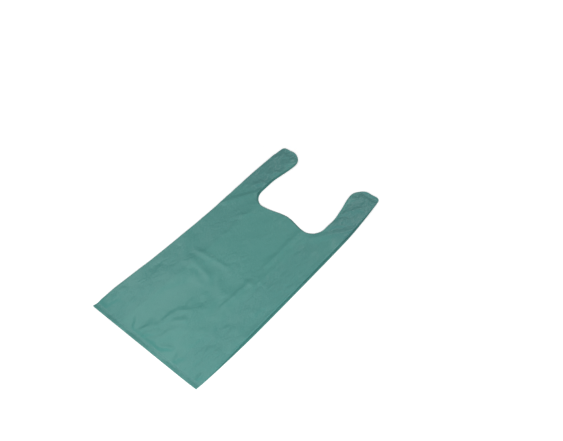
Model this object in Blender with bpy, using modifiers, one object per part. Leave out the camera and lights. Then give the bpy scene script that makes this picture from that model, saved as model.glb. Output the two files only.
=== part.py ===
"""A plastic carrier bag with vest handles, folded flat as it comes off a stack.

The bag is one piece of thin polythene film. It was blown as a tube, tucked in at both sides to make
the gussets, sealed across both ends, and punched through every ply at the top, which leaves a handle
on each side of the mouth. It lies on its back panel. Between the seals the film stands a little open,
most of all along the sides, where the folds of the gussets spring apart.

X runs across the bag, Y from the bottom edge to the tops of the handles, and Z up. The origin is on
the surface that the bag lies on, under the middle of it. Every size is in metres.
"""

import math

import bmesh
import bpy

# The flat bag
BAG_WIDTH = 0.305
BAG_LENGTH = 0.610
GUSSET_DEPTH = 0.076
FILM_THICKNESS = 0.000025

# The punched mouth and the handles
MOUTH_DEPTH = 0.182
MOUTH_RISE = 0.012  # of the middle of the mouth's lower edge above its two ends
MOUTH_CORNER_RADIUS = 0.036
HANDLE_GRIP_WIDTH = 0.054
HANDLE_TOP_WIDTH = 0.064
HANDLE_INNER_RADIUS = 0.030
HANDLE_OUTER_RADIUS = 0.008
GRIP_SHARE = 0.28  # of the straight stretch of a handle's inner edge; the rest widens to the top

# The heat seals, each with its middle set in from the edge that was cut beside it
SEAL_WIDTH = 0.003
SEAL_END_INSET = 0.0008
BOTTOM_SEAL_INSET = 0.010
HANDLE_SEAL_INSET = 0.008

# How the film lies: the plies are pressed together at the seals and stand apart between them
PRESSED_CLEARANCE = 0.00003
LOOSE_PLY_GAP = 0.0007
SETTLE_LENGTH = 0.090
SIDE_DRAW_IN = 0.003
FRONT_FOLD_SETBACK = 0.0015
GUSSET_SPRING = 0.0026
GUSSET_SPRING_POWER = 1.5
FRONT_SINK_PLIES = 1.6
DRAPE_SHARE = 0.45  # of the front panel from the gusset's inner fold to the middle

# The soft waves of the front panel: turns across and along for each ripple length, and a phase
RIPPLE_HEIGHT = 0.0016
RIPPLE_LENGTH = 0.150
RIPPLE_WAVES = ((0.55, 0.80, 0.0), (1.10, -0.45, 1.3), (0.30, 1.35, 2.1))

# The mesh: the longest step over the film, and the steps round a fold or a punched corner
PLY_STEP = 0.024
FOLD_STEPS = 4
CORNER_STEPS = 8

# The film is punched from a longer tube, and the punch reaches past it on every side that it cuts free
TRIM_LENGTH = 0.004
PUNCH_REACH = 0.030

FILM_COLOUR = (0.105, 0.280, 0.250, 1.0)
FILM_ROUGHNESS = 0.42

# The plies, counted up from the surface that the bag lies on
BACK, GUSSET_BACK, GUSSET_FRONT, FRONT = range(4)
PRESSED_PLY_GAP = FILM_THICKNESS + PRESSED_CLEARANCE
BACK_HEIGHT = FILM_THICKNESS / 2
SEAL_HEIGHT = FRONT * PRESSED_PLY_GAP

HALF_WIDTH = BAG_WIDTH / 2
HALF_MIDDLE = HALF_WIDTH - GUSSET_DEPTH
BOTTOM_EDGE = -BAG_LENGTH / 2
TOP_EDGE = BAG_LENGTH / 2
BOTTOM_SEAL = BOTTOM_EDGE + BOTTOM_SEAL_INSET
HANDLE_SEAL = TOP_EDGE - HANDLE_SEAL_INSET


def steps_over(length):
    """How many mesh steps a stretch of film takes."""
    return max(1, math.ceil(abs(length) / PLY_STEP))


def spread(start, end, steps):
    """Evenly spaced values from start to end, both included."""
    return [start + (end - start) * i / steps for i in range(steps + 1)]


def smooth(share):
    """An even ramp from 0 to 1 with a level start and end."""
    share = min(1.0, max(0.0, share))
    return share * share * (3 - 2 * share)


def openness(y):
    """How freely the plies stand apart: 0 over a seal, and 1 once the film has settled beside it."""
    from_seal = min(abs(y - BOTTOM_SEAL), abs(y - HANDLE_SEAL)) - SEAL_WIDTH
    return smooth(from_seal / SETTLE_LENGTH)


def side_edge(y):
    """How far the side folds lie from the middle. The sides draw in between the sealed ends."""
    share = (y - BOTTOM_EDGE) / BAG_LENGTH
    return HALF_WIDTH - SIDE_DRAW_IN * math.sin(math.pi * share) ** 2


def ply_gap(y):
    """The step from one ply's middle surface to the next."""
    return PRESSED_PLY_GAP + (LOOSE_PLY_GAP - PRESSED_PLY_GAP) * openness(y)


def ripple(x, y):
    """How far the soft waves lift the front panel, never below its lowest place."""
    turn = 2 * math.pi / RIPPLE_LENGTH
    waves = [math.cos(turn * (across * x + along * y) + phase) for across, along, phase in RIPPLE_WAVES]
    return RIPPLE_HEIGHT * openness(y) * (1 + sum(waves) / len(waves)) / 2


def height(ply, x, y):
    """The height of one ply's middle surface above the surface that the bag lies on."""
    gap = ply_gap(y)
    level = BACK_HEIGHT + ply * gap
    if ply <= GUSSET_BACK:
        return level
    inner_fold = side_edge(y) - GUSSET_DEPTH
    into_gusset = max(0.0, abs(x) - inner_fold) / GUSSET_DEPTH
    level += GUSSET_SPRING * openness(y) * into_gusset**GUSSET_SPRING_POWER
    if ply == GUSSET_FRONT:
        return level
    # Between the gussets nothing holds the front panel up, so it sinks towards the back one.
    sink = smooth((inner_fold - abs(x)) / (inner_fold * DRAPE_SHARE))
    return level - FRONT_SINK_PLIES * gap * openness(y) * sink + ripple(x, y)


def ply_ends(y):
    """Where the plies end, and the half round of the back fold and of the front fold begins."""
    edge = side_edge(y)
    front_edge = edge - FRONT_FOLD_SETBACK * openness(y)
    front_radius = (height(FRONT, front_edge, y) - height(GUSSET_FRONT, front_edge, y)) / 2
    return edge - ply_gap(y) / 2, front_edge - front_radius


def panel(ply, end, y):
    """One panel's line across the bag, with points at the gussets' inner folds and where it drapes."""
    inner_fold = side_edge(y) - GUSSET_DEPTH
    drape_end = inner_fold * (1 - DRAPE_SHARE)
    right = spread(0, drape_end, steps_over(HALF_MIDDLE * (1 - DRAPE_SHARE)))
    right += spread(drape_end, inner_fold, steps_over(HALF_MIDDLE * DRAPE_SHARE))[1:]
    right += spread(inner_fold, end, steps_over(GUSSET_DEPTH))[1:]
    left = [-x for x in right[:0:-1]]
    return [(x, height(ply, x, y)) for x in left + right]


def fold(x, lower, upper, outwards, y):
    """The round of a fold from one ply up to the next, a half circle as high as the gap between them."""
    low = height(lower, x, y)
    high = height(upper, x, y)
    radius = (high - low) / 2
    turns = spread(-math.pi / 2, math.pi / 2, FOLD_STEPS)[1:-1]
    return [(x + outwards * radius * math.cos(t), (low + high) / 2 + radius * math.sin(t)) for t in turns]


def gusset(y):
    """A gusset's line, from the back panel's end in to its inner fold and out to the front panel's."""
    back_end, front_end = ply_ends(y)
    inner_end = side_edge(y) - GUSSET_DEPTH + ply_gap(y) / 2
    steps = steps_over(GUSSET_DEPTH)
    return (
        fold(back_end, BACK, GUSSET_BACK, 1, y)
        + [(x, height(GUSSET_BACK, x, y)) for x in spread(back_end, inner_end, steps)]
        + fold(inner_end, GUSSET_BACK, GUSSET_FRONT, -1, y)
        + [(x, height(GUSSET_FRONT, x, y)) for x in spread(inner_end, front_end, steps)]
        + fold(front_end, GUSSET_FRONT, FRONT, 1, y)
    )


def section(y):
    """The film's middle line at one place along the bag, as a closed loop of (x, z)."""
    back_end, front_end = ply_ends(y)
    right_gusset = gusset(y)
    left_gusset = [(-x, z) for x, z in reversed(right_gusset)]
    return panel(BACK, back_end, y) + right_gusset + panel(FRONT, front_end, y)[::-1] + left_gusset


def section_places():
    """Where the cross-sections are along the bag, with one on each side of each seal."""
    bottom_flat = (BOTTOM_SEAL - SEAL_WIDTH, BOTTOM_SEAL + SEAL_WIDTH)
    handle_flat = (HANDLE_SEAL - SEAL_WIDTH, HANDLE_SEAL + SEAL_WIDTH)
    return (
        spread(BOTTOM_EDGE, bottom_flat[0], steps_over(BOTTOM_SEAL_INSET))
        + spread(bottom_flat[1], handle_flat[0], steps_over(BAG_LENGTH))
        + spread(handle_flat[1], TOP_EDGE + TRIM_LENGTH, steps_over(HANDLE_SEAL_INSET))
    )


def mesh_object(name, bm, collection):
    mesh = bpy.data.meshes.new(name)
    bm.to_mesh(mesh)
    bm.free()
    obj = bpy.data.objects.new(name, mesh)
    collection.objects.link(obj)
    return obj


def hide_helper(obj):
    obj.hide_render = True
    obj.display_type = "WIRE"


def make_sleeve(collection):
    """The gusseted tube of film before it is sealed and punched: each cross-section joined to the next."""
    bm = bmesh.new()
    rings = [[bm.verts.new((x, y, z)) for x, z in section(y)] for y in section_places()]
    for ring, after in zip(rings, rings[1:]):
        for i in range(len(ring)):
            bm.faces.new((ring[i - 1], ring[i], after[i], after[i - 1]))
    bmesh.ops.recalc_face_normals(bm, faces=bm.faces)
    bmesh.ops.triangulate(bm, faces=bm.faces)
    sleeve = mesh_object("carrier_bag", bm, collection)
    sleeve.data.shade_smooth()
    film = sleeve.modifiers.new("film", "SOLIDIFY")
    film.thickness = FILM_THICKNESS
    film.offset = 0
    return sleeve


def make_seal(name, y, collection):
    """A heat seal: a thin bar that fills the gaps between the plies, from the back one to the front one."""
    bm = bmesh.new()
    bmesh.ops.create_cube(bm, size=1)
    length = 2 * (side_edge(y) - SEAL_END_INSET)
    bmesh.ops.scale(bm, vec=(length, SEAL_WIDTH, SEAL_HEIGHT), verts=bm.verts)
    seal = mesh_object(name, bm, collection)
    seal.location = (0, y, BACK_HEIGHT + SEAL_HEIGHT / 2)
    hide_helper(seal)
    return seal


def arc(centre_x, centre_y, radius, start, end):
    """Points round an arc between two angles in degrees."""
    turns = spread(math.radians(start), math.radians(end), CORNER_STEPS)
    return [(centre_x + radius * math.cos(t), centre_y + radius * math.sin(t)) for t in turns]


def punch_outline():
    """The outline of what the punch takes away: the mouth, and the two outer corners of the handles."""
    grip_edge = HALF_WIDTH - HANDLE_GRIP_WIDTH
    top_edge = HALF_WIDTH - HANDLE_TOP_WIDTH
    mouth_bottom = TOP_EDGE - MOUTH_DEPTH
    corner_start = grip_edge - MOUTH_CORNER_RADIUS
    corner_end = mouth_bottom + MOUTH_CORNER_RADIUS
    flare_end = TOP_EDGE - HANDLE_INNER_RADIUS
    flare_start = corner_end + (flare_end - corner_end) * GRIP_SHARE
    right = []
    for x in spread(0, corner_start, CORNER_STEPS)[1:-1]:
        right.append((x, mouth_bottom + MOUTH_RISE * smooth(1 - x / corner_start)))
    right += arc(corner_start, corner_end, MOUTH_CORNER_RADIUS, -90, 0)
    for y in spread(flare_start, flare_end, CORNER_STEPS)[:-1]:
        flare = smooth((y - flare_start) / (flare_end - flare_start))
        right.append((grip_edge + (top_edge - grip_edge) * flare, y))
    right += arc(top_edge + HANDLE_INNER_RADIUS, flare_end, HANDLE_INNER_RADIUS, 180, 90)
    outer_y = TOP_EDGE - HANDLE_OUTER_RADIUS
    right += arc(HALF_WIDTH - HANDLE_OUTER_RADIUS, outer_y, HANDLE_OUTER_RADIUS, 90, 0)
    right += [(HALF_WIDTH + PUNCH_REACH, outer_y), (HALF_WIDTH + PUNCH_REACH, TOP_EDGE + PUNCH_REACH)]
    return right + [(-x, y) for x, y in reversed(right)]


def make_punch(collection):
    """The punch: a block with that outline, which passes through every ply."""
    outline = punch_outline()
    curve = bpy.data.curves.new("punch_outline", "CURVE")
    curve.dimensions = "2D"
    curve.fill_mode = "BOTH"
    curve.extrude = PUNCH_REACH
    spline = curve.splines.new("POLY")
    spline.points.add(len(outline) - 1)
    for point, (x, y) in zip(spline.points, outline):
        point.co = (x, y, 0, 1)
    spline.use_cyclic_u = True
    guide = bpy.data.objects.new("punch_outline", curve)
    collection.objects.link(guide)
    bpy.context.view_layer.update()
    bm = bmesh.new()
    bm.from_mesh(bpy.data.meshes.new_from_object(guide.evaluated_get(bpy.context.evaluated_depsgraph_get())))
    bmesh.ops.remove_doubles(bm, verts=bm.verts, dist=0.00001)
    bmesh.ops.recalc_face_normals(bm, faces=bm.faces)
    punch = mesh_object("punch", bm, collection)
    punch.matrix_world = guide.matrix_world
    bpy.data.objects.remove(guide)
    hide_helper(punch)
    return punch


def make_film_material():
    material = bpy.data.materials.new("green_film")
    material.use_nodes = True
    shader = material.node_tree.nodes["Principled BSDF"]
    shader.inputs["Base Color"].default_value = FILM_COLOUR
    shader.inputs["Roughness"].default_value = FILM_ROUGHNESS
    shader.inputs["Metallic"].default_value = 0.0
    return material


def add_boolean(obj, operation, other):
    boolean = obj.modifiers.new(other.name, "BOOLEAN")
    boolean.operation = operation
    boolean.object = other


def main():
    for obj in list(bpy.data.objects):
        bpy.data.objects.remove(obj)
    parts = bpy.data.collections.new("carrier_bag")
    cutters = bpy.data.collections.new("cutters")
    for collection in (parts, cutters):
        bpy.context.scene.collection.children.link(collection)
    bag = make_sleeve(parts)
    bag.data.materials.append(make_film_material())
    add_boolean(bag, "UNION", make_seal("bottom_seal", BOTTOM_SEAL, cutters))
    add_boolean(bag, "UNION", make_seal("handle_seal", HANDLE_SEAL, cutters))
    add_boolean(bag, "DIFFERENCE", make_punch(cutters))


main()
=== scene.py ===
# %% [markdown]
# # A plastic carrier bag, folded flat
#
# A vest carrier bag is a tube of thin polythene film. The tube is tucked in at both sides, which makes
# the gussets, sealed across both ends, and punched at the top. The punched scrap leaves a mouth with a
# handle on each side of it. This lesson builds one such bag as it lies on a table, new and flat, with
# four plies of film along the sides and in the handles and two plies in the middle.
#
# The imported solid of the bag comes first. It fixes the real size and the place of everything below.

# %% Load the frame
import math
import random

import bpy
import numpy as np
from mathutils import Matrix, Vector, noise
from mathutils.bvhtree import BVHTree
from mathutils.geometry import delaunay_2d_cdt


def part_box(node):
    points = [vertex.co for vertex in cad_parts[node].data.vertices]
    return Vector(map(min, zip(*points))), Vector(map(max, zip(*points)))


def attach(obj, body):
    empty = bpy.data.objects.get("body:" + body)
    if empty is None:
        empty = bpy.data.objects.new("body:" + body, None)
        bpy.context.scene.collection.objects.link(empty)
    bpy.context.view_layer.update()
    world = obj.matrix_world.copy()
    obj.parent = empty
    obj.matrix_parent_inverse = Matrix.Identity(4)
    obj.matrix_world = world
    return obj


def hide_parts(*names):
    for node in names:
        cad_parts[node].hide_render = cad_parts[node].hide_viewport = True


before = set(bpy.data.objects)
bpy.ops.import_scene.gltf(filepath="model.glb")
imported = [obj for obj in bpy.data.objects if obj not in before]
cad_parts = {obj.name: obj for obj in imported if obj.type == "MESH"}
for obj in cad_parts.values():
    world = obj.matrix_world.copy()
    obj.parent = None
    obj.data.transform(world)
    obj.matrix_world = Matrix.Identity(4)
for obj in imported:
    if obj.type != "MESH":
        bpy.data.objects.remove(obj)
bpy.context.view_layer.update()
low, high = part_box("carrier_bag")
print("solids in the frame:", len(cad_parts))
print("the solid spans", [round((b - a) * 1000, 1) for a, b in zip(low, high)], "mm")

# %% [markdown]
# ## The flat outline
#
# Every ply of the bag has the same outline, because one punch goes through them all. Only half of it is
# described, from the middle out to the side fold. The overall width and length are the solid's own. The
# rest are the real sizes of the mouth and the handles.
#
# The outline could be a drawn curve that cuts a ready sheet. Here it is a few small functions instead,
# so that the mesh can follow the punched edge exactly, with a row of points on it and no cut faces.

# %% The sizes of the flat bag
MM = 0.001
HALF_WIDTH = (high[0] - low[0]) / 2
BOTTOM = low[1]
TOP = high[1]
LENGTH = TOP - BOTTOM
GUSSET_DEPTH = 76 * MM
FILM = 0.025 * MM

MOUTH_DEPTH = 182 * MM
MOUTH_RISE = 12 * MM
MOUTH_CORNER = 36 * MM
GRIP_WIDTH = 54 * MM
TIP_WIDTH = 64 * MM
INNER_CORNER = 30 * MM
OUTER_CORNER = 8 * MM
SIDE_DRAW_IN = 3 * MM
# The share of a handle, from the mouth's corner to where its tip rounds off, that keeps the grip's width
GRIP_SHARE = 0.28

GRIP_EDGE = HALF_WIDTH - GRIP_WIDTH
TIP_EDGE = HALF_WIDTH - TIP_WIDTH
INNER_FOLD = HALF_WIDTH - GUSSET_DEPTH
MOUTH_FLOOR = TOP - MOUTH_DEPTH
CORNER_START = GRIP_EDGE - MOUTH_CORNER
CORNER_TOP = MOUTH_FLOOR + MOUTH_CORNER
FLARE_TOP = TOP - INNER_CORNER
FLARE_START = CORNER_TOP + (FLARE_TOP - CORNER_TOP) * GRIP_SHARE
print(f"flat bag {2 * HALF_WIDTH / MM:.0f} x {LENGTH / MM:.0f} mm, handles {GRIP_WIDTH / MM:.0f} mm wide")


# %% The outline as functions
def smooth(share):
    """An even ramp from 0 to 1 with a level start and end."""
    share = min(1.0, max(0.0, share))
    return share * share * (3 - 2 * share)


def mix(a, b, share):
    """The value between a and b at a share of the way."""
    return a + (b - a) * share


def waist(y):
    """The share of its full width that the bag keeps at this place: its sides draw in a little."""
    return 1 - SIDE_DRAW_IN / HALF_WIDTH * math.sin(math.pi * (y - BOTTOM) / LENGTH) ** 2


def mouth_edge(c):
    """How far up the film reaches under the mouth, at a distance c from the middle."""
    if c <= CORNER_START:
        return MOUTH_FLOOR + MOUTH_RISE * smooth(1 - c / CORNER_START)
    return CORNER_TOP - math.sqrt(max(0.0, MOUTH_CORNER**2 - (c - CORNER_START) ** 2))


def handle_inner_edge(y):
    """How far from the middle a handle begins, and below the mouth the line that its edge would follow."""
    edge = mix(GRIP_EDGE, TIP_EDGE, smooth((y - FLARE_START) / (FLARE_TOP - FLARE_START)))
    if y > FLARE_TOP:
        edge += INNER_CORNER - math.sqrt(max(0.0, INNER_CORNER**2 - (y - FLARE_TOP) ** 2))
    return edge * waist(y)


def side_edge(y):
    """How far from the middle the side folds lie."""
    edge = HALF_WIDTH * waist(y)
    rounding = y - (TOP - OUTER_CORNER)
    if rounding > 0:
        edge -= OUTER_CORNER - math.sqrt(max(0.0, OUTER_CORNER**2 - rounding**2))
    return edge


print(f"the mouth's lower edge is {(TOP - mouth_edge(0)) / MM:.0f} mm below the tops of the handles")

# %% [markdown]
# ## How the film lies
#
# Film this thin has no shape of its own. It lies where the plies below let it. Each ply could be shaped
# by itself, but plies so close together would soon cut through each other. So the shape is one function,
# the height of the stack at each place, and each ply takes its share of that height. The plies can then
# never cross, however strong a wrinkle is.
#
# The stack is pressed flat at the two seals. Between them it stands open, most of all along the sides,
# where the gusset's folds spring apart. In the middle there is no gusset, so the front panel sinks.

# %% The open and the pressed film
PRESSED_STACK = 0.18 * MM
LOOSE_STACK = 2.3 * MM
MIDDLE_STACK = 1.0 * MM
MIDDLE_REACH = 0.5
GUSSET_SPRING = 2.6 * MM
SPRING_CURVE = 1.5
RIDGE_HEIGHT = 0.5 * MM
RIDGE_WIDTH = 4 * MM
SETTLE_LENGTH = 70 * MM
SEAL_WIDTH = 3 * MM
BOTTOM_SEAL = BOTTOM + 10 * MM
HANDLE_SEAL = TOP - 8 * MM
WAVE_HEIGHT = 1.4 * MM
WAVE_LENGTH = 150 * MM
# Each wave's turns across and along the bag in one wave length, and its phase
WAVES = ((0.55, 0.80, 0.0), (1.10, -0.45, 1.3), (0.30, 1.35, 2.1))


def from_seal(y):
    """How far a place is from the nearer seal's edge, and 0 on the seal itself."""
    return max(0.0, min(abs(y - BOTTOM_SEAL), abs(y - HANDLE_SEAL)) - SEAL_WIDTH / 2)


def openness(y):
    """0 at a seal, and 1 where the film has settled. It opens fastest right beside the seal."""
    share = min(1.0, from_seal(y) / SETTLE_LENGTH)
    return share * (2 - share)


def loose_stack(x, y):
    """The height of the loose stack: the air between its plies, and slow waves over the whole bag."""
    inner = INNER_FOLD * waist(y)
    into_gusset = max(0.0, abs(x) - inner) / GUSSET_DEPTH
    over_middle = smooth((inner - abs(x)) / (MIDDLE_REACH * inner))
    air = mix(LOOSE_STACK, MIDDLE_STACK, over_middle) + GUSSET_SPRING * into_gusset**SPRING_CURVE
    ridge = RIDGE_HEIGHT * math.exp(-(((abs(x) - inner) / RIDGE_WIDTH) ** 2))
    turn = 2 * math.pi / WAVE_LENGTH
    wave = sum(math.cos(turn * (across * x + along * y) + phase) for across, along, phase in WAVES)
    return air + ridge + WAVE_HEIGHT * (1 + wave / len(WAVES)) / 2


in_middle, at_side = loose_stack(0, 0), loose_stack(HALF_WIDTH, 0)
print(f"the stack is {in_middle / MM:.1f} mm high in the middle and {at_side / MM:.1f} mm at the side")

# %% [markdown]
# ## Wrinkles, and why they are settled and not drawn
#
# A crease that is simply drawn on film looks like a scratch. On a real bag each crease ends in a small
# fan, two creases that meet share a corner, and the film between them stays almost flat. That is because
# thin film bends easily and hardly stretches. A cloth simulation would know this too, but at a film's
# stiffness it needs a far finer mesh than the bag can have.
#
# So the front panel is settled on a grid of heights. The start is drawn: facets where the film was
# handled, and the creases that this bag shows. Then a short relaxation lets the film find its rest. It
# has four forces: bending, which rounds each crease off; stretching, which keeps the film's length; the
# weight; and the plies below, which it can't sink into. The stretching part works on all places at
# once, so it is solved with a Fourier transform.

# %% The grid that the film settles on
CELL = 2.0
GRID_WIDTH, GRID_LENGTH = 384.0, 768.0
ACROSS, ALONG = int(GRID_WIDTH / CELL), int(GRID_LENGTH / CELL)
grid_x = (np.arange(ACROSS) + 0.5) * CELL - GRID_WIDTH / 2
grid_y = (np.arange(ALONG) + 0.5) * CELL - GRID_LENGTH / 2
PLACE_X, PLACE_Y = np.meshgrid(grid_x, grid_y)
print(f"the film settles on {ACROSS} x {ALONG} heights, {CELL} mm apart")

# %% Facets
# The spacing of the facets' corners and their relief in mm, and the seed of their small differences
FACET_SHEETS = ((64, 2.5, 5), (30, 1.3, 11), (16, 0.5, 17))
FACET_STRETCH = 1.7
SCATTER = (0.05, 0.95)
ABOVE_ALL = 100


def facet_tree(spacing, relief, seed, width, length):
    """A sheet of flat triangles, its corners moved at random within their cells."""
    dice = random.Random(seed)
    long = spacing * FACET_STRETCH
    across, along = int(width / spacing) + 2, int(length / long) + 2
    flat, heights = [], []
    for i in range(across):
        for j in range(along):
            x = (i - across / 2 + dice.uniform(*SCATTER)) * spacing
            y = (j - along / 2 + dice.uniform(*SCATTER)) * long
            flat.append(Vector((x, y)))
            heights.append(dice.uniform(-0.5, 0.5) * relief)
    points, _, triangles, kept, _, _ = delaunay_2d_cdt(flat, [], [], 0, 1e-6)
    corners = [(p.x, p.y, heights[kept[i][0]]) for i, p in enumerate(points)]
    return BVHTree.FromPolygons(corners, triangles)


def facet_grid(spacing, relief, seed, places_x, places_y):
    """The heights of a facet sheet over a grid of places."""
    width, length = np.ptp(places_x), np.ptp(places_y)
    tree = facet_tree(spacing, relief, seed, width, length)
    down = Vector((0, 0, -1))

    def drop(x, y):
        hit = tree.ray_cast(Vector((x, y, ABOVE_ALL)), down)[0]
        return hit.z if hit else 0.0

    return np.array([[drop(x, y) for x, y in zip(*row)] for row in zip(places_x, places_y)])


# %% Creases of this bag
# Each is a crest with its start and end on the flat bag, its height and its width, in mm. A dark line on
# the film is the side of a crest that faces away from the light, and a valley lies between two crests.
# The one whose height is below 0 is a dip.
PANEL_CREASES = (
    # The long fold that runs down from the mouth's right end
    ((56, 126), (54, -30), 1.7, 4.5),
    ((58, -34), (57, -160), 0.8, 5.5),
    # The valley across the left half
    ((-110, -66), (4, -57), 1.5, 6.0),
    ((-96, -86), (-2, -104), 0.9, 6.0),
    # The fold that reaches the bottom seal
    ((6, -120), (-10, -196), 0.5, 6.0),
    ((-7, -186), (-15, -262), 0.6, 6.5),
    ((-10, -248), (-38, -292), 0.8, 6.0),
    # Puckers beside it
    ((-9, -205), (14, -180), 0.8, 5.5),
    ((-2, -230), (28, -205), 0.8, 5.5),
    ((-26, -292), (4, -258), 1.0, 6.0),
    ((18, -292), (60, -268), 1.0, 6.0),
    # Dents
    ((48, -60), (74, -62), 1.7, 5.0),
    ((-92, 58), (-64, 98), 1.5, 6.0),
    ((-83, -4), (-69, 24), 1.1, 5.0),
)
# Where each handle bends over the end of the body
ROOT_CREASES = (
    ((84, 108), (158, 204), 2.6, 11.0),
    ((84, 188), (134, 258), 2.0, 8.0),
    ((-152, 56), (-94, 158), 1.6, 10.0),
    ((-152, 96), (-100, 178), -1.7, 10.0),
)
# The first two are shares of a crease's width. The last is how wide the worked film beside it is, in mm.
CREST_ROUNDING = 0.25
CREST_FADE = 0.6
WORKED_WIDTH = 23


def crease_grid(start, end, height, width):
    """One crease over the grid: a sharp crest that fades to both sides and towards both ends."""
    dx, dy = end[0] - start[0], end[1] - start[1]
    length = math.hypot(dx, dy)
    along = ((PLACE_X - start[0]) * dx + (PLACE_Y - start[1]) * dy) / length**2
    across = ((PLACE_X - start[0]) * dy - (PLACE_Y - start[1]) * dx) / length
    taper = np.sin(np.pi * np.clip(along, 0, 1))
    crest = np.hypot(across, CREST_ROUNDING * width) - CREST_ROUNDING * width
    return height * taper * np.exp(-crest / (CREST_FADE * width))


creases = PANEL_CREASES + ROOT_CREASES
drawn = sum(crease_grid(*line) for line in creases)
worked = sum(crease_grid(start, end, 1.0, WORKED_WIDTH) for start, end, _, _ in creases)
for sheet_of_facets in FACET_SHEETS:
    drawn = drawn + facet_grid(*sheet_of_facets, PLACE_X, PLACE_Y)
print(len(creases), "creases and", len(FACET_SHEETS), "sheets of facets are drawn")


# %% Let film settle
# How strongly each step smooths the smallest waves
SOFTENING = 0.002


def settle(start, slack_x, slack_y, cell, bending, weight, ceiling, pinned, steps, pace, steadying):
    """Relax a grid of heights as thin film with a little slack, over a flat bed. Lengths are in mm."""
    rows, columns = start.shape
    kx = 2 * np.pi * np.fft.rfftfreq(columns, cell)[None, :]
    ky = 2 * np.pi * np.fft.fftfreq(rows, cell)[:, None]
    k2 = kx**2 + ky**2
    safe = np.where(k2 > 0, k2, 1)
    # The part of a stretch that no sideways slip can undo
    pxx, pxy, pyy = ky**2 / safe, -kx * ky / safe, kx**2 / safe
    damping = 1 + pace * (bending * k2**2 + steadying * k2)
    soften = np.exp(-SOFTENING * (k2 * cell**2) ** 2)

    def back(waves):
        return np.fft.irfft2(waves, start.shape)

    height = np.maximum(start, 0)
    for _ in range(steps):
        waves = np.fft.rfft2(height)
        slope_x, slope_y = back(1j * kx * waves), back(1j * ky * waves)
        xx = np.fft.rfft2(slope_x**2 / 2 - slack_x)
        xy = np.fft.rfft2(slope_x * slope_y / 2)
        yy = np.fft.rfft2(slope_y**2 / 2 - slack_y)
        misfit = pxx * xx + 2 * pxy * xy + pyy * yy
        parts = [misfit * pxx, misfit * pxy, misfit * pyy]
        for part, whole in zip(parts, (xx, xy, yy)):
            part[0, 0] = whole[0, 0]
        pull_xx, pull_xy, pull_yy = (back(part) for part in parts)
        force_x = np.fft.rfft2(pull_xx * slope_x + pull_xy * slope_y)
        force_y = np.fft.rfft2(pull_xy * slope_x + pull_yy * slope_y)
        waves += pace * (1j * kx * force_x + 1j * ky * force_y + steadying * k2 * waves)
        waves[0, 0] -= pace * weight * rows * columns
        height = np.maximum(back(waves / damping * soften), 0) * pinned
        height = np.where(height > ceiling, ceiling + (height - ceiling) / 2, height)
    return height


# %% Settle the front panel
# The slacks are shares of the film's length, and the reaches are in mm
BED = 0.7
SLACK = 0.0018
CREASE_SLACK = 0.0036
MOST_WORKED = 1.2
SEAL_SLACK = 0.014
SEAL_REACH = 9.0
SEAL_HOLD = 4.0

seal_gap = np.array([[from_seal(y * MM) / MM] for y in grid_y])
slack = SLACK + CREASE_SLACK * np.clip(worked, 0, MOST_WORKED)
panel = settle(
    BED + drawn,
    slack_x=slack + SEAL_SLACK * np.exp(-seal_gap / SEAL_REACH),
    slack_y=slack,
    cell=CELL,
    bending=0.006,
    weight=1e-7,
    ceiling=3.0,
    pinned=np.clip(seal_gap / SEAL_HOLD, 0, 1),
    steps=70,
    pace=1000,
    steadying=0.06,
)
slope = np.hypot(*np.gradient(panel, CELL)).mean()
print(f"settled panel: up to {panel.max():.1f} mm high, mean slope {slope:.3f}")

# %% [markdown]
# ## The crinkled handles
#
# The handles are narrow, have four plies, and are squeezed together whenever the bag is picked up. Their
# crinkles are much finer than the panel's, and most run along the handle. The panel's grid is too coarse
# for them, and bump alone would leave the film's edge smooth. So they are settled too, on a finer grid,
# with more slack across the handle than along it. One patch serves both handles. It is turned end for
# end for the second, so that the repeat doesn't show.

# %% Settle the handles
HANDLE_CELL = 1.0
PATCH_WIDTH, PATCH_LENGTH = 80, 224
HANDLE_BED = 0.5
HANDLE_FACETS = ((16, 1.3, 31), (8, 0.8, 37))

patch_x, patch_y = np.meshgrid(
    (np.arange(PATCH_WIDTH) + 0.5) * HANDLE_CELL - PATCH_WIDTH / 2,
    (np.arange(PATCH_LENGTH) + 0.5) * HANDLE_CELL - PATCH_LENGTH / 2,
)
crinkled = HANDLE_BED
for sheet_of_facets in HANDLE_FACETS:
    crinkled = crinkled + facet_grid(*sheet_of_facets, patch_x, patch_y)
patch = settle(
    crinkled,
    slack_x=0.012,
    slack_y=0.006,
    cell=HANDLE_CELL,
    bending=0.005,
    weight=0.0,
    ceiling=2.0,
    pinned=1.0,
    steps=100,
    pace=600,
    steadying=0.12,
)
slope = np.hypot(*np.gradient(patch, HANDLE_CELL)).mean()
print(f"settled handle patch: up to {patch.max():.1f} mm high, mean slope {slope:.3f}")


# %% Read the settled heights
def read(grid, cell, x, y):
    """The height at a place, read between the four nearest of a grid that is centred on 0, 0."""
    rows, columns = grid.shape
    i = min(columns - 1.001, max(0.0, x / cell + columns / 2 - 0.5))
    j = min(rows - 1.001, max(0.0, y / cell + rows / 2 - 0.5))
    a, b = int(i), int(j)
    lower = mix(grid[b, a], grid[b, a + 1], i - a)
    upper = mix(grid[b + 1, a], grid[b + 1, a + 1], i - a)
    return mix(lower, upper, j - b)


HANDLE_MIDDLE_X = HALF_WIDTH - GRIP_WIDTH / 2
HANDLE_MIDDLE_Y = (MOUTH_FLOOR + TOP) / 2
CRINKLE_START = MOUTH_FLOOR + 10 * MM
CRINKLE_GROWTH = 45 * MM
# The crinkles' strength at a handle's outer and inner edge, then the share of its width that stays calm
# and the share over which they grow
OUTER_CRINKLES, INNER_CRINKLES = 0.5, 1.3
CALM_SHARE, CHANGE_SHARE = 0.3, 0.4


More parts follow.
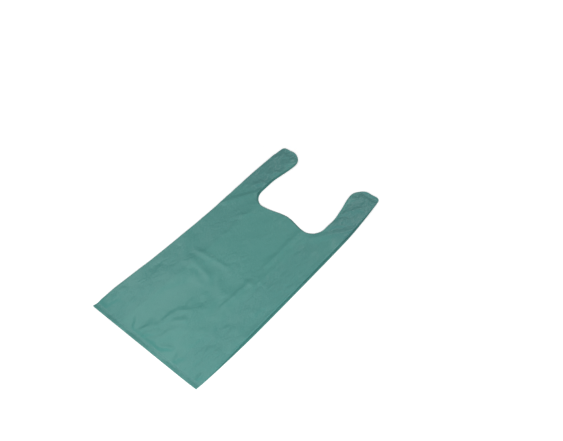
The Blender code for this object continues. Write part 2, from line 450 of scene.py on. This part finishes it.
def crinkles(x, y):
    """The crinkles of a handle, strongest beside its inner edge."""
    inwards = 1 - (abs(x) - handle_inner_edge(y)) / GRIP_WIDTH
    begun = smooth((y - CRINKLE_START) / CRINKLE_GROWTH)
    if begun <= 0 or inwards < 0:
        return 0.0
    strength = mix(OUTER_CRINKLES, INNER_CRINKLES, smooth((inwards - CALM_SHARE) / CHANGE_SHARE))
    turn = -1 if x > 0 else 1
    u = turn * (abs(x) - HANDLE_MIDDLE_X) / MM
    v = turn * (y - HANDLE_MIDDLE_Y) / MM
    return read(patch, HANDLE_CELL, u, v) * MM * begun * strength


in_handle = crinkles(-HANDLE_MIDDLE_X, HANDLE_MIDDLE_Y)
print(f"the film stands {in_handle / MM:.1f} mm high in the middle of the left handle")

# %% [markdown]
# ## Lips, skirt and curled corners
#
# Three more things keep the bag from looking like a board. The free edge of the mouth stands open in
# slow waves. The strip below the bottom seal, the skirt, is loose and flares. The corners of the bag and
# the tips of the handles curl off the table. All three could be sculpted by hand. A small function for
# each is easier to tune, and stays with its edge when a size changes.

# %% Free edges
# Waves are how many there are in a metre along each axis, and where in the noise they are read. A
# waviness is their mean, what they add to it, and the least that is left, as shares of a height.
LIP_HEIGHT = 1.4 * MM
LIP_REACH = 16 * MM
LIP_WAVES = (26, 20, 9.1)
LIP_WAVINESS = (0.55, 1.1, 0.1)
SKIRT_FLARE = 1.6 * MM
SKIRT_WAVES = (28, 0, 5.5)
SKIRT_WAVINESS = (0.6, 1.2, 0.1)
CORNER_HOLD = 0.7
HOLD_CURVE = 4


def from_mouth(x, y):
    """How far a place on the film is from the punched edge, near enough."""
    if y > CORNER_TOP:
        return max(0.0, abs(x) - handle_inner_edge(y))
    if abs(x) >= GRIP_EDGE:
        return math.hypot(abs(x) - GRIP_EDGE, CORNER_TOP - y)
    return max(0.0, mouth_edge(abs(x)) - y)


def slow_waves(x, y, waves, waviness):
    """The share of a height that slow uneven waves leave at a place on the bag."""
    across, along, start = waves
    mean, swing, least = waviness
    return max(least, mean + swing * noise.noise(Vector((x * across, y * along, start))))


def lips(x, y):
    """How the free edge of the mouth stands open."""
    fade = math.exp(-from_mouth(x, y) / LIP_REACH)
    return LIP_HEIGHT * fade * slow_waves(x, y, LIP_WAVES, LIP_WAVINESS)


def skirt(x, y):
    """How the strip below the bottom seal flares: less towards its corners, where four plies hold it."""
    below = max(0.0, BOTTOM_SEAL - SEAL_WIDTH / 2 - y) / (BOTTOM_SEAL - BOTTOM)
    free = 1 - CORNER_HOLD * (abs(x) / HALF_WIDTH) ** HOLD_CURVE
    return SKIRT_FLARE * below * free * slow_waves(x, y, SKIRT_WAVES, SKIRT_WAVINESS)


print(f"lips {lips(0, MOUTH_FLOOR) / MM:.1f} mm high, skirt {skirt(0, BOTTOM) / MM:.1f} mm")

# %% Curled corners
# Each curl's place, as a share of the half width and along the bag, its reach and its height
CURLS = (
    ((1.00, BOTTOM), 60 * MM, 3.0 * MM),
    ((-1.00, BOTTOM), 45 * MM, 0.8 * MM),
    ((-0.80, TOP), 75 * MM, 4.0 * MM),
    ((0.85, TOP), 60 * MM, 2.6 * MM),
)


def curl(x, y):
    """How far the whole stack curls off the table."""
    lift = 0.0
    for (share, end), reach, height in CURLS:
        gap = math.hypot(x - share * HALF_WIDTH, y - end) / reach
        lift += height * max(0.0, 1 - gap) ** 2
    return lift


print(f"the left handle's tip curls {curl(-TIP_EDGE, TOP) / MM:.1f} mm off the table")

# %% [markdown]
# ## The plies
#
# Now every ply gets its height. From the table up they are the back panel, the back and the front ply
# of the gusset, and the front panel. The wrinkles belong to the front panel. The gusset ply under it
# follows them a little, and the two lower plies lie calm. The contact between the plies could be
# simulated, but little more than the edges of the lower ones shows, so fixed shares of the height do.

# %% The height of each ply
BACK, GUSSET_BACK, GUSSET_FRONT, FRONT = range(4)
# What each ply has of the stack's height, pressed and open, and of the wrinkles
PRESSED_SHARES = (0.0, 1 / 3, 2 / 3, 1.0)
OPEN_SHARES = (0.0, 0.12, 0.62, 1.0)
WRINKLE_SHARES = (0.0, 0.0, 0.35, 1.0)


def height(ply, x, y):
    """The height of one ply's middle surface above the table."""
    free = openness(y)
    stack = mix(PRESSED_STACK, loose_stack(x, y) + lips(x, y), free) + skirt(x, y)
    z = FILM / 2 + curl(x, y) + mix(PRESSED_SHARES[ply], OPEN_SHARES[ply], free) * stack
    if WRINKLE_SHARES[ply]:
        z += WRINKLE_SHARES[ply] * (read(panel, CELL, x / MM, y / MM) * MM + free * crinkles(x, y))
    return z


in_handle, in_middle = height(FRONT, -HANDLE_MIDDLE_X, HANDLE_MIDDLE_Y), height(FRONT, 0, 0)
print(f"the left handle stands {in_handle / MM:.1f} mm high, and the bag's middle {in_middle / MM:.1f} mm")

# %% [markdown]
# ## The mesh: rows and columns
#
# The bag's section is one closed loop of film: the back panel, a gusset, the front panel, the other
# gusset. Columns run along the bag at fixed places round that loop, and rows cross it. A plain grid with
# the mouth cut out of it would be quicker, but its cut edge would be jagged. So the columns under the
# mouth stop at its edge, and those in the handles go on to the top. Where the mouth's corner turns up,
# the columns crowd together, so that the curve stays round.
#
# The front panel shows most, so it gets the most columns. The gussets and the back need fewer.


# %% Spacing helpers
def spread(start, end, count):
    """Evenly spaced values from start to end, both included."""
    return [mix(start, end, i / count) for i in range(count + 1)]


def crowded(start, end, count):
    """Values from start to end that crowd together towards the end."""
    return [mix(start, end, math.sin(math.pi / 2 * i / count)) for i in range(count + 1)]


def half_columns(middle, corner, handle):
    """Distances from the middle for one half of a panel, with so many steps in each of its stretches."""
    return (
        spread(0, CORNER_START, middle)
        + crowded(CORNER_START, GRIP_EDGE, corner)[1:]
        + spread(GRIP_EDGE, HALF_WIDTH, handle)[1:]
    )


FRONT_COLUMNS = half_columns(24, 13, 31)
BACK_COLUMNS = half_columns(4, 10, 6)
GUSSET_COLUMNS = crowded(INNER_FOLD, GRIP_EDGE, 5) + spread(GRIP_EDGE, HALF_WIDTH, 7)[1:]
FOLD_STEPS = 4

# %% Rows
SEAL_FOOT = BOTTOM_SEAL - SEAL_WIDTH / 2
SEAL_HEAD = BOTTOM_SEAL + SEAL_WIDTH / 2
TIP_SEAL_FOOT = HANDLE_SEAL - SEAL_WIDTH / 2
TIP_SEAL_HEAD = HANDLE_SEAL + SEAL_WIDTH / 2
PUCKERED = SEAL_HEAD + 24 * MM
BODY_ROWS = (
    spread(BOTTOM, SEAL_FOOT, 5)
    + spread(SEAL_FOOT, SEAL_HEAD, 3)[1:]
    + spread(SEAL_HEAD, PUCKERED, 12)[1:]
    + spread(PUCKERED, CORNER_TOP, 134)[1:]
)
HANDLE_ROWS = (
    spread(CORNER_TOP, TIP_SEAL_FOOT, 72)[1:]
    + spread(TIP_SEAL_FOOT, TIP_SEAL_HEAD, 3)[1:]
    + crowded(TIP_SEAL_HEAD, TOP, 7)[1:]
)
ROWS = BODY_ROWS + HANDLE_ROWS
print(len(BODY_ROWS), "rows in the body and", len(HANDLE_ROWS), "in the handles")

# %% [markdown]
# ## Places on the film
#
# A column keeps its distance from the middle, c, but the place that it stands at changes along the bag:
# the sides draw in, the handles flare, and the rows under the mouth close up to meet its edge. Above the
# corners of the mouth only the handle columns are left, and they share the handle's width between them.
#
# The plies have also slipped on each other a little, as they do when a bag is handled. It shows as a
# second line along the side fold, and as a sliver of the back panel behind the mouth's edge.

# %% From column and row to the flat bag
FRONT_SETBACK = 1.0 * MM
# How far each ply has slipped, from the back panel to the front: sideways, and along the bag
SIDE_SLIP = (1.6 * MM, 1.2 * MM, -1.2 * MM, -1.6 * MM)
END_SLIP = (0.0, -0.4 * MM, -1.6 * MM, -2.2 * MM)
SIDE_SLIP_LENGTH = 150 * MM


def row_place(c, row):
    """The place along the bag of a row at column c. Towards the mouth the rows close up to its edge."""
    if c >= GRIP_EDGE or row <= 0:
        return row
    return mouth_edge(c) * row / CORNER_TOP


def slack_across(y):
    """How free the film is to slip sideways: not at all at the seals, fully well away from them."""
    return smooth(from_seal(y) / SIDE_SLIP_LENGTH)


def slack_along(y):
    """How free the film is to slip along the bag: not at all at the seals, most beside the mouth."""
    if y < CORNER_TOP:
        return max(0.0, (y - SEAL_HEAD) / (CORNER_TOP - SEAL_HEAD))
    return max(0.0, (TIP_SEAL_FOOT - y) / (TIP_SEAL_FOOT - CORNER_TOP))


def column_place(c, y, start, inner, last):
    """The distance from the middle of column c, where its ply runs from inner to last."""
    grip = handle_inner_edge(y)
    if c <= GRIP_EDGE:
        return mix(inner, grip, (c - start) / (GRIP_EDGE - start))
    return mix(grip, last, (c - GRIP_EDGE) / (HALF_WIDTH - GRIP_EDGE))


# %% The ends of each ply
end_cache = {}


def ends_at(side, y):
    """Where the back fold, the front fold and the inner fold begin. Every column of a row asks for it."""
    if (side, y) not in end_cache:
        edge = side_edge(y)
        front_edge = edge - FRONT_SETBACK * slack_across(y)
        inner = INNER_FOLD * waist(y)

        def radius(lower, upper, x):
            return (height(upper, side * x, y) - height(lower, side * x, y)) / 2

        end_cache[side, y] = (
            edge - radius(BACK, GUSSET_BACK, edge),
            front_edge - radius(GUSSET_FRONT, FRONT, front_edge),
            inner + radius(GUSSET_BACK, GUSSET_FRONT, inner),
        )
    return end_cache[side, y]


# %% Points of plies and folds
def ply_point(side, c, ply, row):
    """A point of one ply: its place on the table and its height."""
    y = row_place(c, row)
    back_end, front_end, inner_end = ends_at(side, y)
    last = back_end if ply in (BACK, GUSSET_BACK) else front_end
    start, inner = (INNER_FOLD, inner_end) if ply in (GUSSET_BACK, GUSSET_FRONT) else (0.0, 0.0)
    x = side * column_place(c, y, start, inner, last) + SIDE_SLIP[ply] * slack_across(y)
    y += END_SLIP[ply] * slack_along(y)
    return x, y, height(ply, x, y)


def fold_point(side, c, lower, upper, outwards, turn, row):
    """A point round a fold between two plies, a half circle as high as the gap between them."""
    below, above = ply_point(side, c, lower, row), ply_point(side, c, upper, row)
    share = (1 + math.sin(turn)) / 2
    x, y, z = (mix(a, b, share) for a, b in zip(below, above))
    return x + side * outwards * (above[2] - below[2]) / 2 * math.cos(turn), y, z


# %% The columns round the bag
def panel_columns(ply, places):
    """A panel's columns from the left side to the right, as (place, function from row to point)."""
    sides = [(-1, c) for c in places[:0:-1]] + [(1, c) for c in places]
    return [(c, lambda row, s=s, c=c: ply_point(s, c, ply, row)) for s, c in sides]


def fold_columns(side, c, lower, upper, outwards):
    """The columns round one fold, between the two plies that it joins."""
    turns = spread(-math.pi / 2, math.pi / 2, FOLD_STEPS)[1:-1]
    return [(c, lambda row, t=t: fold_point(side, c, lower, upper, outwards, t, row)) for t in turns]


def gusset_columns(side):
    """One side's gusset, from the end of the back panel to the end of the front panel."""

    def ply_columns(ply, places):
        return [(c, lambda row, c=c: ply_point(side, c, ply, row)) for c in places]

    return (
        fold_columns(side, HALF_WIDTH, BACK, GUSSET_BACK, 1)
        + ply_columns(GUSSET_BACK, GUSSET_COLUMNS[::-1])
        + fold_columns(side, INNER_FOLD, GUSSET_BACK, GUSSET_FRONT, -1)
        + ply_columns(GUSSET_FRONT, GUSSET_COLUMNS)
        + fold_columns(side, HALF_WIDTH, GUSSET_FRONT, FRONT, 1)
    )


LOOP = (
    panel_columns(BACK, BACK_COLUMNS)
    + gusset_columns(1)
    + panel_columns(FRONT, FRONT_COLUMNS)[::-1]
    + gusset_columns(-1)[::-1]
)
print(len(LOOP), "columns round the bag")

# %% [markdown]
# ## From points to a mesh
#
# The last step before the mesh moves points only in the table's plane. A bag that was laid down by hand
# never lies quite straight: its middle bows to one side, and its handles lean towards each other. Both
# shifts depend on the place along the bag, so they move all plies together. A lattice could bend the
# finished mesh in the same way, but two short functions need less setting up.

# %% Bow and lean
BOW = 9 * MM
HANDLE_LEAN = 6 * MM
LEAN_CURVE = 1.5


def bow(y):
    """The sideways shift that bends the bag a little, even about its middle."""
    return BOW * (0.5 - ((y - (TOP + BOTTOM) / 2) / (LENGTH / 2)) ** 2)


def lean(x, y):
    """How far a handle leans in towards the mouth."""
    rise = max(0.0, (y - CORNER_TOP) / (TOP - CORNER_TOP))
    return -math.copysign(HANDLE_LEAN * rise**LEAN_CURVE, x)


print(f"the middle bows by {bow(0) / MM:.1f} mm, and the handles lean in by {HANDLE_LEAN / MM:.0f} mm")

# %% Depth of colour, and painted shade over the handles
SIDE_DEPTH = 0.3
SIDE_BLEND = 6 * MM
# Where the painted shade over the handles begins, how far it takes to grow, and how wide its blend at the
# handle's inner edge is
HANDLE_SHADE_START = MOUTH_FLOOR - 10 * MM
HANDLE_SHADE_RISE = 60 * MM
HANDLE_SHADE_EDGE_BLEND = 24 * MM


def ply_depth_and_handle_shade(x, y):
    """How deep the film's colour is: 0 over two plies and a little over four. In the handles it rises to
    1, painted shade beyond what their four plies give.
    """
    side = smooth((abs(x) - INNER_FOLD) / SIDE_BLEND)
    along = smooth((y - HANDLE_SHADE_START) / HANDLE_SHADE_RISE)
    across = smooth((abs(x) - GRIP_EDGE + HANDLE_SHADE_EDGE_BLEND / 2) / HANDLE_SHADE_EDGE_BLEND)
    # The first term is the deeper colour of four plies. The second is painted shade that darkens the
    # handles.
    return max(SIDE_DEPTH * side, along * across)


# The value in the handles is mostly painted shade
at_side, in_handle = ply_depth_and_handle_shade(HALF_WIDTH, 0), ply_depth_and_handle_shade(HALF_WIDTH, TOP)
print("the colour's depth is", at_side, "at the side folds and", in_handle, "in the handles")


# %% Build the film's middle surface
def build_sheet():
    """The film as a sheet of quads, one column after the next round the closed loop."""
    points, index, depth_and_shade_values, seals = [], {}, [], []
    for j, (c, point) in enumerate(LOOP):
        rows = ROWS if c >= GRIP_EDGE else BODY_ROWS
        for r, row in enumerate(rows):
            x, y, z = point(row)
            index[j, r] = len(points)
            points.append((x + bow(y) + lean(x, y), y, z))
            # The number of plies, and painted shade over the handles
            depth_and_shade_values.append(ply_depth_and_handle_shade(x, y))
            seals.append(1.0 if from_seal(row) == 0 else 0.0)
    faces = []
    for j in range(len(LOOP)):
        k = (j + 1) % len(LOOP)
        for r in range(len(ROWS) - 1):
            corners = [(j, r), (k, r), (k, r + 1), (j, r + 1)]
            if all(corner in index for corner in corners):
                faces.append([index[corner] for corner in corners])
    mesh = bpy.data.meshes.new("carrier_bag_film")
    mesh.from_pydata(points, [], faces)
    mesh.shade_smooth()
    # Stored for the material: the deeper colour of four plies and the handles' painted shade
    mesh.attributes.new("depth_and_shade", "FLOAT", "POINT").data.foreach_set("value", depth_and_shade_values)
    mesh.attributes.new("seal", "FLOAT", "POINT").data.foreach_set("value", seals)
    return mesh


sheet = build_sheet()
bag = bpy.data.objects.new("carrier_bag_film", sheet)
bpy.context.scene.collection.objects.link(bag)
print(len(sheet.vertices), "points and", len(sheet.polygons), "faces in the sheet")

# %% [markdown]
# ## The film's thickness
#
# A real bag's film is about a fortieth of a millimetre thick. No picture shows that, but a sheet with
# no thickness has no inside and no edge, and can't be printed or simulated. Solidify adds it, half on
# each side of the sheet, so every ply stays where it was placed.

# %% Give the film its thickness
film = bag.modifiers.new("film", "SOLIDIFY")
film.thickness = FILM
film.offset = 0
print(f"the film is {film.thickness / MM:.3f} mm thick")

# %% [markdown]
# ## The film's material
#
# The film is polythene, coloured right through, with a satin gloss. Three things vary its colour. Where
# four plies lie on each other it looks a little deeper than where there are two. Blown film has faint
# streaks along the tube. And it is never quite even. Besides these, the handles are painted darker, which
# is painted shade and not a colour of the film.
#
# All of it is made of nodes that read the place on the bag, and two numbers stored at each point of the
# mesh: depth_and_shade, for the number of plies and the painted shade over the handles, and seal. So
# nothing has to be unwrapped, and no texture painted.

# %% Node helpers
def add_node(material, kind, **inputs):
    """A new node with its named inputs set."""
    node = material.node_tree.nodes.new(kind)
    for name, value in inputs.items():
        node.inputs[name.replace("_", " ")].default_value = value
    return node


def add_scaled(material, value, scale, base):
    """value x scale + base, where value is a socket and base a socket or a number."""
    node = add_node(material, "ShaderNodeMath")
    node.operation = "MULTIPLY_ADD"
    node.inputs[1].default_value = scale
    material.node_tree.links.new(value, node.inputs[0])
    if isinstance(base, float):
        node.inputs[2].default_value = base
    else:
        material.node_tree.links.new(base, node.inputs[2])
    return node.outputs[0]


def add_product(material, first, second):
    """One socket's value times another's."""
    node = add_node(material, "ShaderNodeMath")
    node.operation = "MULTIPLY"
    material.node_tree.links.new(first, node.inputs[0])
    material.node_tree.links.new(second, node.inputs[1])
    return node.outputs[0]


def add_range(material, value, source, target):
    """A socket whose value runs over the target's range while its input runs over the source's."""
    node = add_node(material, "ShaderNodeMapRange")
    node.inputs["From Min"].default_value, node.inputs["From Max"].default_value = source
    node.inputs["To Min"].default_value, node.inputs["To Max"].default_value = target
    material.node_tree.links.new(value, node.inputs["Value"])
    return node.outputs["Result"]


# %% Places, attributes and noise
def read_attribute(material, name):
    """A number that is stored at the points of the mesh."""
    node = add_node(material, "ShaderNodeAttribute")
    node.attribute_name = name
    return node.outputs["Fac"]


def place_on_piece(material, scale):
    """The place on a piece in metres, times a scale for each axis."""
    place = add_node(material, "ShaderNodeTexCoord")
    scaled = add_node(material, "ShaderNodeMapping", Scale=scale)
    material.node_tree.links.new(place.outputs["Object"], scaled.inputs["Vector"])
    return scaled.outputs["Vector"]


def add_noise(material, scale, detail):
    """Noise over the bag, with so many swells in a metre along each axis."""
    node = add_node(material, "ShaderNodeTexNoise", Scale=1.0, Detail=detail, Roughness=0.5)
    material.node_tree.links.new(place_on_piece(material, scale), node.inputs["Vector"])
    return node


# %% Film colour
FILM_COLOUR = (0.074, 0.284, 0.253, 1.0)
# The deep colour of four plies, which the handles reach in full as painted shade
DEEP_AND_SHADED_FILM_COLOUR = (0.072, 0.250, 0.236, 1.0)
PATCH_SCALE = (11.0, 11.0, 11.0)
STREAK_SCALE = (260.0, 6.0, 1.0)
UNEVENNESS = 0.30
STREAKS = 0.12
SEAL_DEPTH = 0.5


def colour_film(material, shader, patches, streaks):
    """Blend from the light to the deep colour with the number of plies, the painted shade over the
    handles, the patches, the streaks and the seals.
    """
    links = material.node_tree.links
    # The stored value carries the plies and the handles' painted shade
    depth_and_shade = add_scaled(material, patches, UNEVENNESS, read_attribute(material, "depth_and_shade"))
    depth_and_shade = add_scaled(material, streaks, STREAKS, depth_and_shade)
    depth_and_shade = add_scaled(material, read_attribute(material, "seal"), SEAL_DEPTH, depth_and_shade)
    deepest = 1.0 + (UNEVENNESS + STREAKS) / 2
    tone_and_shade = add_range(material, depth_and_shade, (deepest - 1.0, deepest), (0.0, 1.0))
    colour = add_node(material, "ShaderNodeMix")
    colour.data_type = "RGBA"
    colour.inputs["A"].default_value = FILM_COLOUR
    colour.inputs["B"].default_value = DEEP_AND_SHADED_FILM_COLOUR
    links.new(tone_and_shade, colour.inputs["Factor"])
    links.new(colour.outputs["Result"], shader.inputs["Base Color"])


# %% Film gloss
DULL, GLOSSY = 0.39, 0.29
# The stretch of the patches' noise over which the gloss changes
GLOSS_PATCHES = (0.3, 0.7)
SEAL_GLOSS = -0.08


def gloss_film(material, shader, patches):
    """A satin gloss in soft patches, and more of it on the seals, which the hot bar pressed smooth."""
    gloss = add_range(material, patches, GLOSS_PATCHES, (GLOSSY, DULL))
    pressed = add_scaled(material, read_attribute(material, "seal"), SEAL_GLOSS, gloss)
    material.node_tree.links.new(pressed, shader.inputs["Roughness"])


# %% [markdown]
# ## Creases finer than the mesh
#
# The wrinkles are in the mesh, but film also has creases that are finer than the mesh can be. They are
# bump: cells whose distance to their nearest edge makes flat facets with sharp creases between them. A
# noise texture would make soft pits, which look like skin and not like film.

# %% Facets with sharp creases
# How far the cells are warped, and how many of them one swell of the warp spans
CREASE_WARP = 1.1
WARP_SPAN = 3


def facet_field(material, scale):
    """Flat facets that meet in sharp creases: the distance to the nearest edge of warped random cells."""
    links = material.node_tree.links
    warp = add_node(material, "ShaderNodeVectorMath")
    warp.operation = "MULTIPLY_ADD"
    warp.inputs[1].default_value = (CREASE_WARP,) * 3
    swells = add_noise(material, tuple(step / WARP_SPAN for step in scale), 1.0)
    links.new(swells.outputs["Color"], warp.inputs[0])
    links.new(place_on_piece(material, scale), warp.inputs[2])
    cells = add_node(material, "ShaderNodeTexVoronoi", Scale=1.0)
    cells.feature = "DISTANCE_TO_EDGE"
    links.new(warp.outputs["Vector"], cells.inputs["Vector"])
    return cells.outputs["Distance"]


# %% Fine creases, streaks and seal ribs
# For each sheet of facets: how many there are in a metre along each axis, and their relief
CREASE_SHEETS = (
    ((30.0, 17.0, 20.0), 1.20 * MM),
    ((76.0, 44.0, 50.0), 0.95 * MM),
    ((170.0, 110.0, 120.0), 0.36 * MM),
)
CALM, WORKED = 0.30, 1.0
# The stretch of the patches' noise over which calm film turns into worked film
WORKED_PATCHES = (0.40, 0.62)
HANDLED = 0.9
STREAK_RELIEF = 0.02 * MM
# The step at which a wave texture repeats when its scale is 1
WAVE_STEP = math.pi / 10
RIB_SPACING = 1.3 * MM
RIB_RELIEF = 0.04 * MM


def relief_film(material, shader, patches, streaks):
    """Bump: creases, strongest where the film was handled, streaks along the tube, and the seals' ribs."""
    links = material.node_tree.links
    worked = add_range(material, patches, WORKED_PATCHES, (CALM, WORKED))
    handled = add_scaled(material, read_attribute(material, "depth_and_shade"), HANDLED, worked)
    height = add_scaled(material, streaks, STREAK_RELIEF, 0.0)
    for scale, relief in CREASE_SHEETS:
        facets = add_product(material, facet_field(material, scale), handled)
        height = add_scaled(material, facets, relief, height)
    ribs = add_node(material, "ShaderNodeTexWave", Scale=1.0)
    links.new(place_on_piece(material, (WAVE_STEP / RIB_SPACING, 0.0, 0.0)), ribs.inputs["Vector"])
    pressed = add_product(material, ribs.outputs["Fac"], read_attribute(material, "seal"))
    height = add_scaled(material, pressed, RIB_RELIEF, height)
    bump = add_node(material, "ShaderNodeBump", Strength=1.0, Distance=1.0)
    links.new(height, bump.inputs["Height"])
    links.new(bump.outputs["Normal"], shader.inputs["Normal"])


# %% Film material
FILM_IOR = 1.5


def make_film_material():
    """The whole finish of the film. The same patches vary its colour, its gloss and its creases."""
    material = bpy.data.materials.new("green_film")
    material.use_nodes = True
    shader = material.node_tree.nodes["Principled BSDF"]
    shader.inputs["IOR"].default_value = FILM_IOR
    patches = add_noise(material, PATCH_SCALE, 3.0).outputs["Fac"]
    streaks = add_noise(material, STREAK_SCALE, 2.0).outputs["Fac"]
    colour_film(material, shader, patches, streaks)
    gloss_film(material, shader, patches)
    relief_film(material, shader, patches, streaks)
    return material


sheet.materials.append(make_film_material())
print(len(sheet.materials[0].node_tree.nodes), "nodes make the film's finish")
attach(bag, "root")
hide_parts("carrier_bag")

# %% [markdown]
# ## The table
#
# The table is matt white. A pale table that is lit like the bag renders as grey, and more light would
# wash the film out. So the table glows a little, for the camera alone, and more the further out it is.

# %% The table's finish
TABLE_WHITE = (0.96, 0.96, 0.96, 1.0)
TABLE_GLOW = 0.27
# How far from the bag's middle the glow begins to grow, and where the table is plain white, in metres
NEAR, FAR = 0.35, 1.3


def make_table_material():
    """A matt white that the camera sees a little brighter than its light, and plain white further out."""
    material = bpy.data.materials.new("white_table")
    material.use_nodes = True
    nodes, links = material.node_tree.nodes, material.node_tree.links
    shader = nodes["Principled BSDF"]
    shader.inputs["Base Color"].default_value = TABLE_WHITE
    shader.inputs["Roughness"].default_value = 1.0
    shader.inputs["Specular IOR Level"].default_value = 0.0
    shader.inputs["Emission Color"].default_value = (1.0, 1.0, 1.0, 1.0)
    path = nodes.new("ShaderNodeLightPath")
    away = nodes.new("ShaderNodeVectorMath")
    away.operation = "LENGTH"
    links.new(place_on_piece(material, (1.0, 1.0, 0.0)), away.inputs[0])
    glow = add_range(material, away.outputs["Value"], (NEAR, FAR), (TABLE_GLOW, 1.0))
    seen = add_product(material, glow, path.outputs["Is Camera Ray"])
    links.new(seen, shader.inputs["Emission Strength"])
    return material


# %% Table
TABLE_SIZE = 12
TABLE_DROP = 0.05 * MM


def make_table():
    """A plane just below the bag. It is the stage, and no part of the object."""
    bpy.ops.mesh.primitive_plane_add(size=TABLE_SIZE, location=(0, 0, -TABLE_DROP))
    table = bpy.context.object
    table.name = "table"
    table.data.materials.append(make_table_material())


make_table()
print("the table is", TABLE_SIZE, "m wide")

# %% [markdown]
# ## The light
#
# One key light from the camera's own side shows the wrinkles. A bare bulb would draw each of them as a
# hard line, so the light is a soft box. Two wide, weak ones from behind give the film its sheen, one over
# the body and one over the handles. The white studio fills the shadows.

# %% White studio
STUDIO_LIGHT = 0.28
scene = bpy.context.scene
scene.view_settings.view_transform = "Standard"


def make_world(strength):
    """An even white studio, which the camera itself sees as plain white."""
    world = bpy.data.worlds.new("studio")
    scene.world = world
    world.use_nodes = True
    nodes, links = world.node_tree.nodes, world.node_tree.links
    background = nodes["Background"]
    background.inputs["Color"].default_value = (1, 1, 1, 1)
    path = nodes.new("ShaderNodeLightPath")
    seen = nodes.new("ShaderNodeMath")
    seen.operation = "MAXIMUM"
    seen.inputs[1].default_value = strength
    links.new(path.outputs["Is Camera Ray"], seen.inputs[0])
    links.new(seen.outputs[0], background.inputs["Strength"])


make_world(STUDIO_LIGHT)
print(f"the studio lights the bag at {STUDIO_LIGHT} of full white")

# %% Lamps
# Each light's azimuth and elevation in degrees, its distance and size in metres, and its power in watts
LIGHTS = {
    "key": (-48, 42, 1.9, 0.6, 24),
    "sheen": (168, 60, 2.6, 1.2, 8.5),
    "far_sheen": (110, 44, 2.6, 0.8, 5.6),
}


def area_light(name, azimuth, elevation, distance, size, power):
    """A square soft box that faces the bag's middle."""
    light = bpy.data.lights.new(name, "AREA")
    light.size = size
    light.energy = power
    lamp = bpy.data.objects.new(name, light)
    a, e = math.radians(azimuth), math.radians(elevation)
    place = Vector((math.cos(a) * math.cos(e), math.sin(a) * math.cos(e), math.sin(e))) * distance
    lamp.location = place
    lamp.rotation_euler = (-place).to_track_quat("-Z", "Y").to_euler()
    scene.collection.objects.link(lamp)


for light_name, place_and_power in LIGHTS.items():
    area_light(light_name, *place_and_power)
print("the bag is lit by", ", ".join(LIGHTS))

# %% [markdown]
# ## The camera
#
# The camera looks down on the bag from the right of its bottom edge, and is turned a little, as a
# hand-held one is. It could be placed by eye, but a fit is surer: its place and lens were worked out once
# from the bag's four corners in the picture, and are given here as plain values.

# %% Camera
CAMERA_AZIMUTH = -43.5
CAMERA_ELEVATION = 48.7
CAMERA_DISTANCE = 1.541
CAMERA_ROLL = -4.44
CAMERA_LENS = 43.2
CAMERA_TARGET = Vector((1.4, 117.7, 0)) * MM


def make_camera():
    """The view from the right of the bottom edge, looking down along the bag."""
    azimuth, elevation = math.radians(CAMERA_AZIMUTH), math.radians(CAMERA_ELEVATION)
    flat = math.cos(elevation)
    forward = Vector((math.sin(azimuth) * flat, math.cos(azimuth) * flat, -math.sin(elevation)))
    data = bpy.data.cameras.new("camera")
    data.lens = CAMERA_LENS
    camera = bpy.data.objects.new("camera", data)
    camera.location = CAMERA_TARGET - forward * CAMERA_DISTANCE
    camera.rotation_euler = forward.to_track_quat("-Z", "Y").to_euler()
    camera.rotation_euler.rotate_axis("Z", math.radians(CAMERA_ROLL))
    scene.collection.objects.link(camera)
    scene.camera = camera


make_camera()
print("the camera is", CAMERA_DISTANCE, "m from the bag, with a lens of", CAMERA_LENS, "mm")
